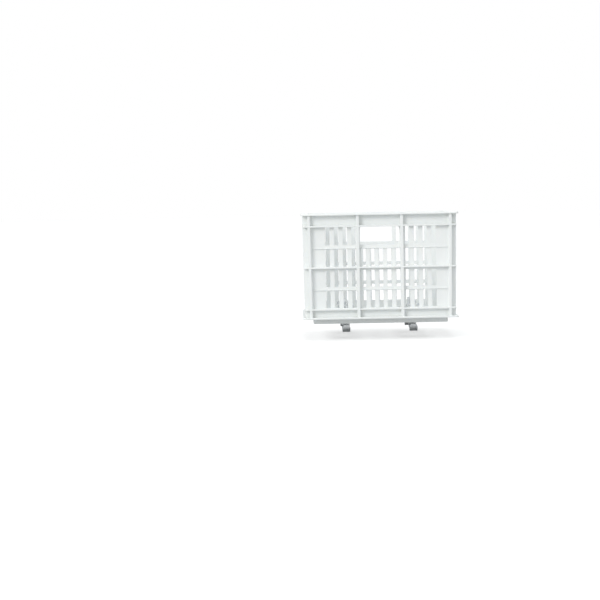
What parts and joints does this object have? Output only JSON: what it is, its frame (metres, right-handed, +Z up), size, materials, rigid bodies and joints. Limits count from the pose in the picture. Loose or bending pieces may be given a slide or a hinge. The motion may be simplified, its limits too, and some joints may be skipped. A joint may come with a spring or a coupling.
{
  "type": "bicycle carrier crate",
  "caption": "Open-topped slotted plastic stacking crate for a bicycle's front carrier, with hook clamps tightened by wing nuts that grip the carrier's rails.",
  "frame": {"origin": "centre of the crate's flat underside, where it rests on the carrier's rails", "axes": "+X the bicycle's forward direction, +Y its left side, +Z up"},
  "size_m": [0.295, 0.34, 0.2258],
  "materials": {
    "crate_plastic": "satin injection-moulded polypropylene, white",
    "zinc_steel": "bright zinc-plated steel"
  },
  "bodies": {
    "crate": {"crate": "crate_plastic"},
    "slider_front_left": {"spreader_plate_front_left": "zinc_steel", "washer_front_left": "zinc_steel"},
    "hook_front_left": {"hook_front_left": "zinc_steel", "bolt_front_left": "zinc_steel"},
    "nut_front_left": {"wing_nut_front_left": "zinc_steel"},
    "slider_front_right": {"spreader_plate_front_right": "zinc_steel", "washer_front_right": "zinc_steel"},
    "hook_front_right": {"hook_front_right": "zinc_steel", "bolt_front_right": "zinc_steel"},
    "nut_front_right": {"wing_nut_front_right": "zinc_steel"},
    "slider_rear_left": {"spreader_plate_rear_left": "zinc_steel", "washer_rear_left": "zinc_steel"},
    "hook_rear_left": {"hook_rear_left": "zinc_steel", "bolt_rear_left": "zinc_steel"},
    "nut_rear_left": {"wing_nut_rear_left": "zinc_steel"},
    "slider_rear_right": {"spreader_plate_rear_right": "zinc_steel", "washer_rear_right": "zinc_steel"},
    "hook_rear_right": {"hook_rear_right": "zinc_steel", "bolt_rear_right": "zinc_steel"},
    "nut_rear_right": {"wing_nut_rear_right": "zinc_steel"}
  },
  "joints": [
    {"name": "clamp_shift_front_left", "type": "slide", "parent": "crate", "child": "slider_front_left", "axis": [0, 1, 0], "range_m": [-0.02, 0.02]},
    {"name": "nut_turn_front_left", "type": "hinge", "parent": "slider_front_left", "child": "nut_front_left", "pos_m": [0.064, 0.073, 0.0166], "axis": [0, 0, 1], "range_deg": [0, 4320]},
    {"name": "hook_drop_front_left", "type": "slide", "parent": "slider_front_left", "child": "hook_front_left", "axis": [0, 0, -1], "range_m": [0, 0.012]},
    {"name": "clamp_shift_front_right", "type": "slide", "parent": "crate", "child": "slider_front_right", "axis": [0, -1, 0], "range_m": [-0.02, 0.02]},
    {"name": "nut_turn_front_right", "type": "hinge", "parent": "slider_front_right", "child": "nut_front_right", "pos_m": [0.064, -0.073, 0.0166], "axis": [0, 0, 1], "range_deg": [0, 4320]},
    {"name": "hook_drop_front_right", "type": "slide", "parent": "slider_front_right", "child": "hook_front_right", "axis": [0, 0, -1], "range_m": [0, 0.012]},
    {"name": "clamp_shift_rear_left", "type": "slide", "parent": "crate", "child": "slider_rear_left", "axis": [0, 1, 0], "range_m": [-0.02, 0.02]},
    {"name": "nut_turn_rear_left", "type": "hinge", "parent": "slider_rear_left", "child": "nut_rear_left", "pos_m": [-0.064, 0.073, 0.0166], "axis": [0, 0, 1], "range_deg": [0, 4320]},
    {"name": "hook_drop_rear_left", "type": "slide", "parent": "slider_rear_left", "child": "hook_rear_left", "axis": [0, 0, -1], "range_m": [0, 0.012]},
    {"name": "clamp_shift_rear_right", "type": "slide", "parent": "crate", "child": "slider_rear_right", "axis": [0, -1, 0], "range_m": [-0.02, 0.02]},
    {"name": "nut_turn_rear_right", "type": "hinge", "parent": "slider_rear_right", "child": "nut_rear_right", "pos_m": [-0.064, -0.073, 0.0166], "axis": [0, 0, 1], "range_deg": [0, 4320]},
    {"name": "hook_drop_rear_right", "type": "slide", "parent": "slider_rear_right", "child": "hook_rear_right", "axis": [0, 0, -1], "range_m": [0, 0.012]}
  ],
  "couplings": [
    {"joint": "hook_drop_front_left", "follows": "nut_turn_front_left", "m_per_rad": 0.00015915},
    {"joint": "hook_drop_front_right", "follows": "nut_turn_front_right", "m_per_rad": 0.00015915},
    {"joint": "hook_drop_rear_left", "follows": "nut_turn_rear_left", "m_per_rad": 0.00015915},
    {"joint": "hook_drop_rear_right", "follows": "nut_turn_rear_right", "m_per_rad": 0.00015915}
  ]
}
